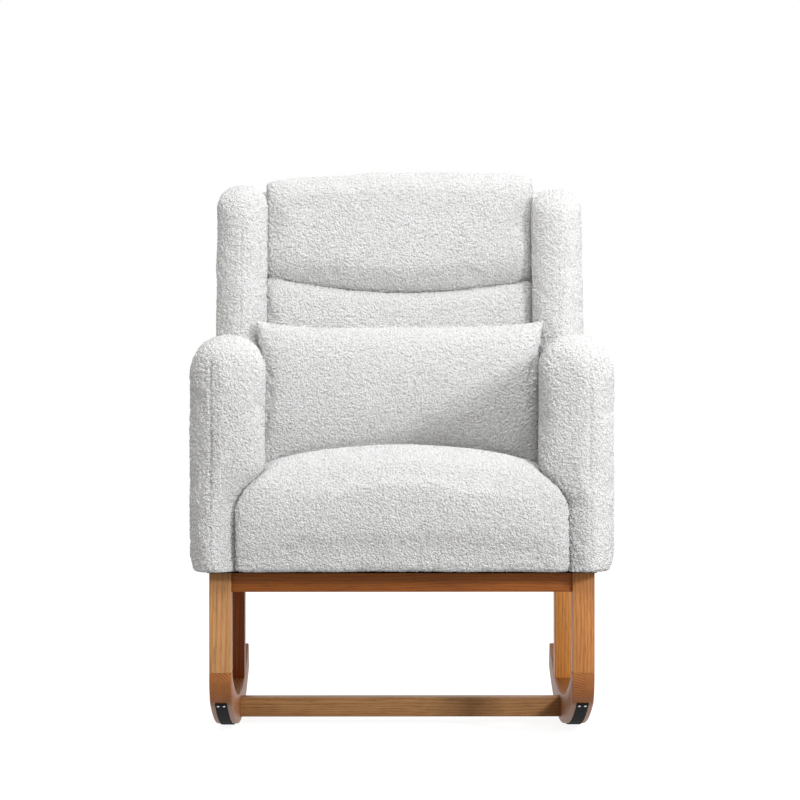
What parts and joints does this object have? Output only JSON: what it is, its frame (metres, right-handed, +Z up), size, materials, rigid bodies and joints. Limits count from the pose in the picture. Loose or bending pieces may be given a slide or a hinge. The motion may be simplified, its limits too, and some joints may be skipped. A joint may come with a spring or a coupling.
{
  "type": "upholstered rocking chair",
  "caption": "Padded wing armchair on a wooden base with curved rockers, front and rear legs, a stretcher and a loose lumbar pillow.",
  "frame": {"origin": "on the floor under the middle of the chair's bounding box", "axes": "the chair faces -Y, +X is to the right as seen from the front, +Z is up"},
  "size_m": [0.7, 0.78, 1.0031],
  "materials": {
    "base_wood": "satin lacquered oak",
    "frame_wood": "raw timber and plywood",
    "boucle": "curly off-white pile",
    "dust_cloth": "thin black cloth",
    "webbing": "woven band and felt",
    "foam": "foam and fibre fill",
    "tread_rubber": "matte",
    "steel": "zinc-plated"
  },
  "bodies": {
    "chair": {"left_rocker": "base_wood", "right_rocker": "base_wood", "left_front_leg": "base_wood", "right_front_leg": "base_wood", "left_rear_leg": "base_wood", "right_rear_leg": "base_wood", "front_rail": "base_wood", "rear_rail": "base_wood", "left_side_rail": "base_wood", "right_side_rail": "base_wood", "stretcher": "base_wood", "left_tread_strip": "tread_rubber", "right_tread_strip": "tread_rubber", "tread_nails": "steel", "leg_dowels": "base_wood", "rail_dowels": "base_wood", "stretcher_dowels": "base_wood", "base_screws": "steel", "dust_cover": "dust_cloth", "front_seat_board": "frame_wood", "rear_seat_board": "frame_wood", "left_seat_board": "frame_wood", "right_seat_board": "frame_wood", "left_side_panel": "frame_wood", "right_side_panel": "frame_wood", "left_back_post": "frame_wood", "right_back_post": "frame_wood", "top_back_rail": "frame_wood", "middle_back_rail": "frame_wood", "bottom_back_rail": "frame_wood", "back_webbing": "webbing", "frame_bolts": "steel", "tee_nuts": "steel", "corner_screws": "steel", "back_screws": "steel", "seat_springs": "steel", "spring_clips": "steel", "spring_insulator": "webbing", "seat_foam": "foam", "seat_cushion": "boucle", "left_arm_pad": "boucle", "right_arm_pad": "boucle", "left_wing_pad": "boucle", "right_wing_pad": "boucle", "lower_back_pad": "boucle", "upper_back_pad": "boucle", "outer_back_panel": "boucle"},
    "lumbar_pillow": {"pillow_cover": "boucle", "pillow_fill": "foam"}
  },
  "joints": [
    {"name": "pillow_lift", "type": "slide", "parent": "chair", "child": "lumbar_pillow", "axis": [0, -0.6, 0.8], "range_m": [0, 0.6]}
  ]
}
